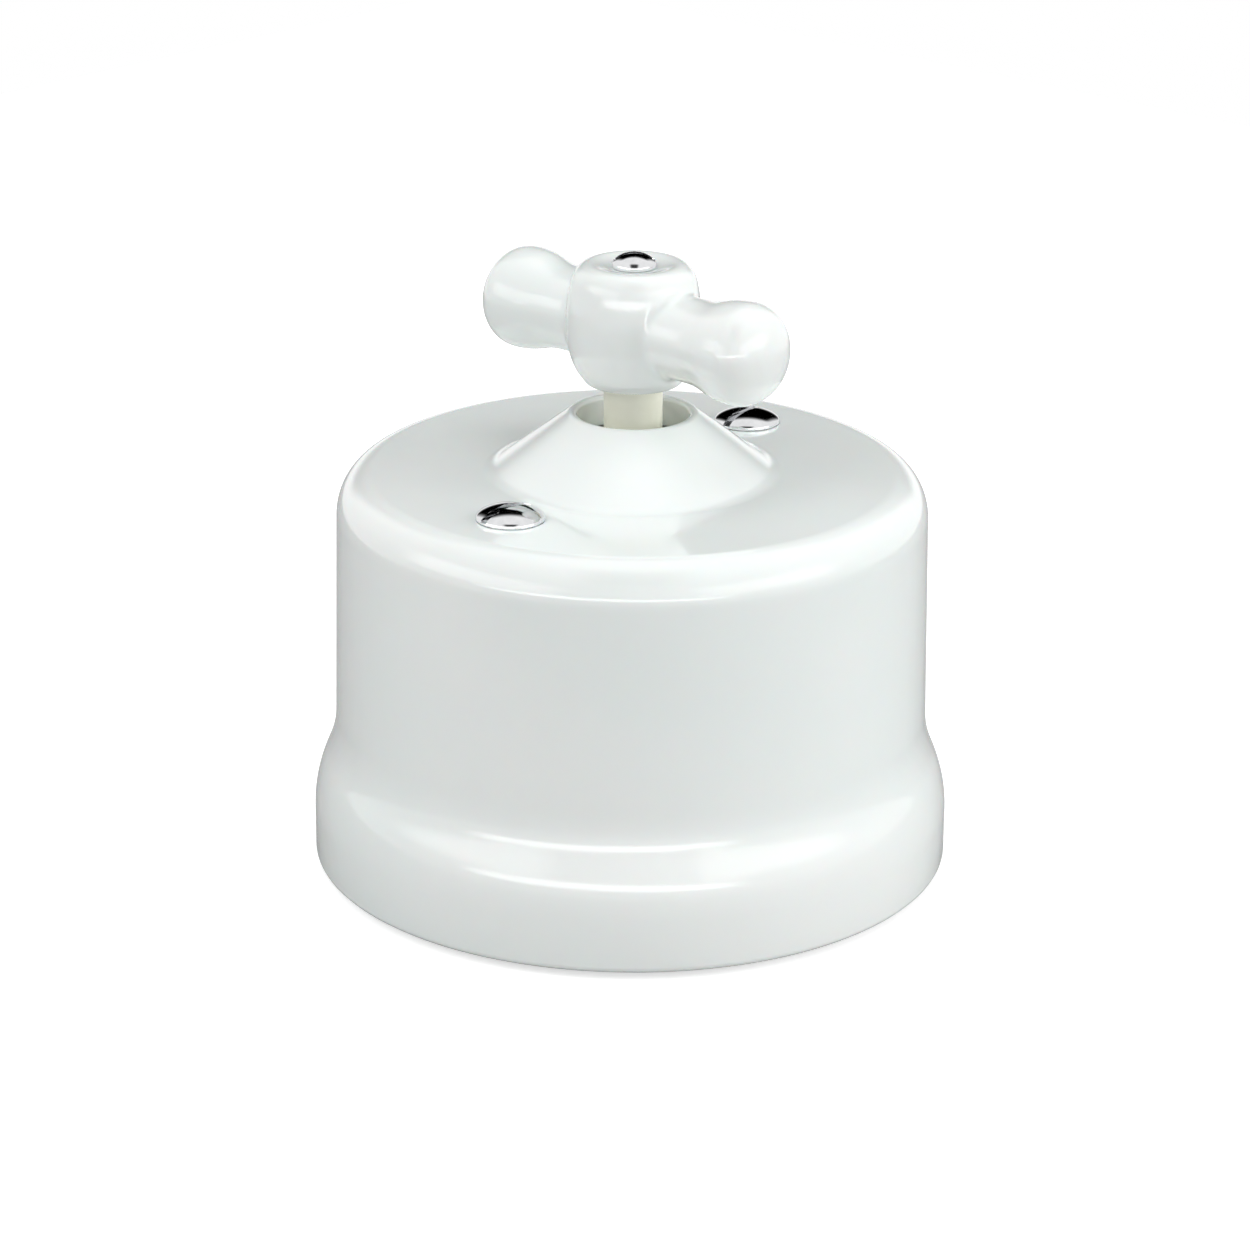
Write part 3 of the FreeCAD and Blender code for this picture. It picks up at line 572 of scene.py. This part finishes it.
shaft_outline = [(0, shaft_bottom_z)]
shaft_outline += quarter_oval((shaft_r - shaft_edge, shaft_bottom_z), (shaft_r, shaft_bottom_z),
                              (shaft_r, shaft_bottom_z + shaft_edge), 3)
shaft_outline += [(shaft_r, groove_z), (groove_r, groove_z), (groove_r, groove_z + groove_width),
                  (shaft_r, groove_z + groove_width)]
shaft_outline += quarter_oval((shaft_r, shaft_top_z - shaft_edge), (shaft_r, shaft_top_z),
                              (shaft_r - shaft_edge, shaft_top_z), 3)
shaft_outline += [(0, shaft_top_z)]
spindle = lathe("spindle_cream", in_mm(shaft_outline), screw_steps)
journal = lathe("journal", in_mm([(0, journal_z), (journal_r - shaft_edge, journal_z),
                                  (journal_r, journal_z + shaft_edge),
                                  (journal_r, lower_key_z + into), (0, lower_key_z + into)]),
                screw_steps)
combine(spindle, square_key(lower_key_z, shaft_bottom_z + key_into, key_edge), "UNION")
combine(spindle, square_key(shaft_top_z - key_into, upper_key_z, key_edge), "UNION")
combine(spindle, journal, "UNION")
print("spindle has", len(spindle.data.polygons), "faces before its bore")

# %% [markdown]
# The bore is cut last, so that one hole runs through shaft and key together. Its wide stretch
# in the middle holds the brass bush.

# %% Bore the spindle
bore = lathe("bore", in_mm([(0, bore_z), (bore_r, bore_z), (bore_r, bush_z), (bush_r, bush_z),
                            (bush_r, bush_top_z), (bore_r, bush_top_z),
                            (bore_r, upper_key_z + past), (0, upper_key_z + past)]), screw_steps)
combine(spindle, bore, "DIFFERENCE")
shade_smooth(spindle, 35)
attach(spindle, "turning_set")
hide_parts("spindle")
print("spindle has", len(spindle.data.polygons), "faces")

# %% [markdown]
# A finish is a tree of nodes, and each input of a node holds a value or takes a link. It could
# be wired by hand in the shader editor. In code, two helpers wire every finish, the sheet, the
# world and the cards in the same way.

# %% Helpers for node trees
def fill(tree, node, inputs):
    """Links each input to an output, or sets it to a value."""
    for socket, value in inputs.items():
        if isinstance(value, bpy.types.NodeSocket):
            tree.links.new(value, node.inputs[socket])
        else:
            node.inputs[socket].default_value = value


def add_node(tree, kind, inputs=None, **settings):
    """Adds a node with its settings and inputs."""
    node = tree.nodes.new(kind)
    for name, value in settings.items():
        setattr(node, name, value)
    fill(tree, node, inputs or {})
    return node


# %% [markdown]
# Every finish of the switch is one recipe with other values: a colour that wanders a little
# between two tones, and a bump from a finer noise. A flat colour would be simpler, but no real
# surface is so even. Both noises follow Object coordinates, so they turn with their piece.

# %% The recipe for a finish
def finish(name, dark, light, spread, grain, relief, **surface):
    """A material that wanders from dark to light, with a relief.

    The grain is (scale, detail) and the relief is (scale, detail, strength, depth). The other
    values go to the shader's own sockets.
    """
    material = bpy.data.materials.new(name)
    material.use_nodes = True
    tree = material.node_tree
    place = add_node(tree, "ShaderNodeTexCoord").outputs["Object"]
    tones = add_node(tree, "ShaderNodeTexNoise",
                     {"Vector": place, "Scale": grain[0], "Detail": grain[1]})
    ramp = add_node(tree, "ShaderNodeValToRGB", {"Fac": tones.outputs["Fac"]})
    for element, at, colour in zip(ramp.color_ramp.elements, (0.5 - spread, 0.5 + spread),
                                   (dark, light)):
        element.position = at
        element.color = (*colour, 1)
    waves = add_node(tree, "ShaderNodeTexNoise",
                     {"Vector": place, "Scale": relief[0], "Detail": relief[1]})
    bump = add_node(tree, "ShaderNodeBump", {"Height": waves.outputs["Fac"],
                                             "Strength": relief[2], "Distance": relief[3]})
    shader = tree.nodes["Principled BSDF"]
    fill(tree, shader, {"Base Color": ramp.outputs["Color"], "Normal": bump.outputs["Normal"]})
    fill(tree, shader, {key.replace("_", " "): value for key, value in surface.items()})
    return material


def paint(piece, material):
    piece.data.materials.clear()
    piece.data.materials.append(material)


# %% [markdown]
# Glaze is a thin layer of glass over a white body. So the porcelain has a coat with a sharp
# reflection over a softer one, a little light under the skin, and slight waves that bend what
# it mirrors. Its white leans a little to green and blue.

# %% White glaze
glaze = finish("white_glaze", (0.835, 0.885, 0.87), (0.87, 0.9, 0.885), 0.15, (45, 3),
               (120, 1.5, 0.08, 0.0004), Roughness=0.12, IOR=1.5, Coat_Weight=0.6,
               Coat_Roughness=0.04, Subsurface_Weight=0.12, Subsurface_Scale=0.002)
for piece in (cover, handle):
    paint(piece, glaze)
print("glazed", cover.name, "and", handle.name)

# %% [markdown]
# Chrome plate is a bright metal with almost no blur. The spindle's urea is a pale cream
# plastic with a dull shine.

# %% Chrome plate and cream urea
chrome = finish("chrome_plate", (0.72, 0.73, 0.74), (0.82, 0.82, 0.83), 0.2, (900, 3),
                (2500, 2, 0.05, 0.00005), Metallic=1.0, Roughness=0.08)
cream = finish("cream_urea", (0.92, 0.92, 0.78), (0.95, 0.95, 0.82), 0.2, (600, 3),
               (3000, 2, 0.08, 0.0001), Roughness=0.35)
for piece in (chrome_screws, handle_screw):
    paint(piece, chrome)
paint(spindle, cream)
print("painted", chrome_screws.name, handle_screw.name, "and", spindle.name)

# %% [markdown]
# The inner pieces show only when the switch is taken apart or seen from the wall side. Their
# finishes are those of the trade: unglazed porcelain for the base, dark phenolic for the
# mechanism, brass strips with silver buttons, zinc-plated screws and spring steel.

# %% Finishes of the inner pieces
bisque = finish("unglazed_porcelain", (0.74, 0.73, 0.68), (0.82, 0.81, 0.77), 0.2, (300, 5),
                (1800, 4, 0.3, 0.0001), Roughness=0.7)
brass = finish("drawn_brass", (0.66, 0.47, 0.2), (0.78, 0.58, 0.28), 0.2, (700, 4),
               (2500, 2, 0.1, 0.0001), Metallic=1.0, Roughness=0.32)
zinc = finish("zinc_plate", (0.55, 0.56, 0.57), (0.68, 0.69, 0.7), 0.2, (1200, 4),
              (2500, 2, 0.1, 0.0001), Metallic=1.0, Roughness=0.35)
spring = finish("spring_steel", (0.38, 0.38, 0.4), (0.5, 0.5, 0.52), 0.2, (1500, 4),
                (3000, 2, 0.1, 0.0001), Metallic=1.0, Roughness=0.3)
silver = finish("contact_silver", (0.75, 0.74, 0.71), (0.86, 0.85, 0.83), 0.2, (1500, 3),
                (3000, 2, 0.1, 0.0001), Metallic=1.0, Roughness=0.25)
phenolic = finish("dark_phenolic", (0.03, 0.022, 0.018), (0.07, 0.05, 0.04), 0.2, (800, 5),
                  (2500, 3, 0.15, 0.0001), Roughness=0.4)
finish_of_slot = {"glazed_porcelain": glaze, "base_porcelain": bisque, "chrome": chrome,
                  "brass": brass, "zinc_steel": zinc, "spring_steel": spring, "silver": silver,
                  "cream_plastic": cream, "dark_plastic": phenolic}
for part in frame["record"]["subparts"]:
    paint(frame["nodes"][part["node"]], finish_of_slot[part["material_slot"]])

# %% [markdown]
# The stage is a small white sheet under studio lamps. A sheet bright enough to be white by its
# light alone would mean lamps that burn out the porcelain. So it glows a little, but only for
# the camera, and still keeps the switch's shadow. Reflections see it as a greyer paper, which
# draws the soft grey contour down both sides of the body.

# %% Sheet under the switch
sheet_half, sheet_drop = 0.3, 0.0002
paper_white, paper_mirrored, paper_glow = 0.7, 0.4, 0.62
nothing_selected()
bpy.ops.mesh.primitive_plane_add(size=2 * sheet_half, location=(0, 0, -sheet_drop))
sheet = bpy.context.object
sheet.name = "sheet"

sheet_white = bpy.data.materials.new("sheet_white")
sheet_white.use_nodes = True
tree = sheet_white.node_tree
rays = add_node(tree, "ShaderNodeLightPath")
shade = add_node(tree, "ShaderNodeMapRange", {"Value": rays.outputs["Is Glossy Ray"],
                                              "To Min": paper_white, "To Max": paper_mirrored})
glow = add_node(tree, "ShaderNodeMath", {0: rays.outputs["Is Camera Ray"], 1: paper_glow},
                operation="MULTIPLY")
fill(tree, tree.nodes["Principled BSDF"],
     {"Base Color": shade.outputs["Result"], "Roughness": 0.9, "Specular IOR Level": 0.0,
      "Emission Color": (1, 1, 1, 1), "Emission Strength": glow.outputs[0]})
sheet.data.materials.append(sheet_white)
print("sheet is", 2 * sheet_half, "m wide")

# %% [markdown]
# Beyond the sheet the world takes over. Light Path keeps its two jobs apart: the camera and the
# rays through glass or off a shiny surface see it white, while only a third of that white
# lights the switch.

# %% World
air_white, air_light = 1.0, 0.345
world = bpy.data.worlds.new("studio")
bpy.context.scene.world = world
world.use_nodes = True
air = world.node_tree
rays = add_node(air, "ShaderNodeLightPath")
direct = add_node(air, "ShaderNodeMath", {0: rays.outputs["Is Camera Ray"],
                                          1: rays.outputs["Is Glossy Ray"]}, operation="MAXIMUM")
clear = add_node(air, "ShaderNodeMath", {0: direct.outputs[0],
                                         1: rays.outputs["Is Transmission Ray"]},
                 operation="MAXIMUM")
brightness = add_node(air, "ShaderNodeMapRange", {"Value": clear.outputs[0],
                                                  "To Min": air_light, "To Max": air_white})
fill(air, air.nodes["Background"], {"Color": (1, 1, 1, 1),
                                    "Strength": brightness.outputs["Result"]})
print("world lights the switch with", air_light, "and is seen as", air_white)

# %% [markdown]
# Where a lamp stands is given by its azimuth, from the camera's own direction, and by its
# elevation. The lamps only light the porcelain, so that no hard outline of a lamp shows in its
# glaze: what the glaze mirrors is made by cards further on.

# %% Helpers for lamps
view_azimuth = 42.0
aim = Vector((0, 0, 0.03))


def direction(azimuth, elevation):
    """Unit vector from the switch. Azimuth 0 is in front of it, on -Y."""
    a, e = math.radians(azimuth), math.radians(elevation)
    return Vector((math.sin(a) * math.cos(e), -math.cos(a) * math.cos(e), math.sin(e)))


def facing(thing, azimuth, elevation, distance):
    """Puts a lamp or card at a distance from the switch and turns it to look at it."""
    away = direction(azimuth, elevation)
    thing.location = aim + away * distance
    thing.rotation_euler = away.to_track_quat("Z", "Y").to_euler()


def softbox(name, azimuth, elevation, distance, width, height, power):
    """A rectangular lamp that looks at the switch, from an azimuth counted from the camera."""
    lamp = bpy.data.lights.new(name, "AREA")
    lamp.shape = "RECTANGLE"
    lamp.size = width
    lamp.size_y = height
    lamp.energy = power
    body = bpy.data.objects.new(name, lamp)
    bpy.context.scene.collection.objects.link(body)
    facing(body, view_azimuth + azimuth, elevation, distance)
    body.visible_glossy = False


# %% [markdown]
# Four softboxes stand over, behind and on both sides of the switch. The right one is low and
# the strongest, as a window would be, and the others lift the shade that it leaves.

# %% Lamps
# name, azimuth, elevation, distance, width, height, power
softbox("over", 0, 82, 0.8, 0.6, 0.6, 2.6)
softbox("back", 180, 50, 0.9, 0.7, 0.5, 1.2)
softbox("right", 78, 20, 0.8, 0.6, 0.5, 3.4)
softbox("left", -55, 42, 0.8, 0.6, 0.5, 2.1)

# %% [markdown]
# What the glaze and the chrome mirror stands round the switch as cards that only reflections
# see. A lamp could be mirrored too, but its edge is hard. A card fades out instead: over a
# share of its width and height, its glow gives way to clear, and nothing is left at the edge.

# %% Light that fades out at a card's edges
def card_light(name, strength, edge):
    """A glow of one strength that fades to nothing over a share of the card at each edge."""
    material = bpy.data.materials.new(name)
    material.use_nodes = True
    tree = material.node_tree
    tree.nodes.clear()
    place = add_node(tree, "ShaderNodeTexCoord").outputs["Object"]
    split = add_node(tree, "ShaderNodeSeparateXYZ", {0: place})
    fades = {}
    for i in (0, 1):
        off = add_node(tree, "ShaderNodeMath", {0: split.outputs[i]}, operation="ABSOLUTE")
        fade = add_node(tree, "ShaderNodeMapRange",
                        {"Value": off.outputs[0], "From Min": 0.5 - edge, "From Max": 0.5,
                         "To Min": 1.0, "To Max": 0.0}, interpolation_type="SMOOTHSTEP")
        fades[i] = fade.outputs["Result"]
    both = add_node(tree, "ShaderNodeMath", fades, operation="MULTIPLY")
    nothing = add_node(tree, "ShaderNodeBsdfTransparent")
    glow = add_node(tree, "ShaderNodeEmission", {"Strength": strength})
    blend = add_node(tree, "ShaderNodeMixShader",
                     {0: both.outputs[0], 1: nothing.outputs[0], 2: glow.outputs[0]})
    add_node(tree, "ShaderNodeOutputMaterial", {0: blend.outputs[0]})
    return material


def soft_card(name, azimuth, elevation, distance, width, height, strength, edge):
    """A card that only reflections see, from an azimuth counted from the camera."""
    nothing_selected()
    bpy.ops.mesh.primitive_plane_add(size=1)
    card = bpy.context.object
    card.name = name
    card.scale = (width, height, 1)
    facing(card, view_azimuth + azimuth, elevation, distance)
    card.visible_camera = False
    card.visible_diffuse = False
    card.visible_shadow = False
    card.data.materials.append(card_light(name, strength, edge))


# %% [markdown]
# Bright cards are the windows and a long low strip, which draws the fine line along the
# shoulder, the skirt and the handle. Dark ones, of next to no strength, give the chrome its
# black side: in an all white room it would look like paper.

# %% Cards for the reflections
# name, azimuth, elevation, distance, width, height, strength, fading share
soft_card("strip", -10, 7, 0.8, 2.2, 0.09, 5.0, 0.25)
soft_card("window_left", -60, 19, 0.82, 1.3, 0.42, 2.5, 0.25)
soft_card("window_right", 52, 19, 0.84, 1.2, 0.42, 2.4, 0.25)
soft_card("window_front", 0, 16, 0.86, 1.2, 0.34, 1.3, 0.3)
soft_card("dark_back", 180, 33, 0.7, 1.1, 0.85, 0.0, 0.22)
soft_card("dark_front", 0, 58, 0.8, 0.6, 0.8, 0.05, 0.3)

# %% [markdown]
# The camera stands where the photographer stood: a little above the switch, with a long lens.
# The shift moves the picture without turning the camera, and the small roll is the one that
# the photographer's camera had.

# %% Camera
view_elevation, view_distance, view_roll = 20.84, 0.45, 0.45
target = Vector((0, 0, 0.022))
away = direction(view_azimuth, view_elevation)
lens = bpy.data.cameras.new("camera")
lens.sensor_width = 36.0
lens.lens = 126.75
lens.shift_x = -0.005
lens.shift_y = 0.0198
lens.clip_start = 0.01
camera = bpy.data.objects.new("camera", lens)
bpy.context.scene.collection.objects.link(camera)
camera.location = target + away * view_distance
rolled = Matrix.Rotation(math.radians(view_roll), 3, "Z")
camera.rotation_euler = (away.to_track_quat("Z", "Y").to_matrix() @ rolled).to_euler()
bpy.context.scene.camera = camera
bpy.context.scene.view_settings.view_transform = "Standard"
print("camera at", [round(x, 3) for x in camera.location])
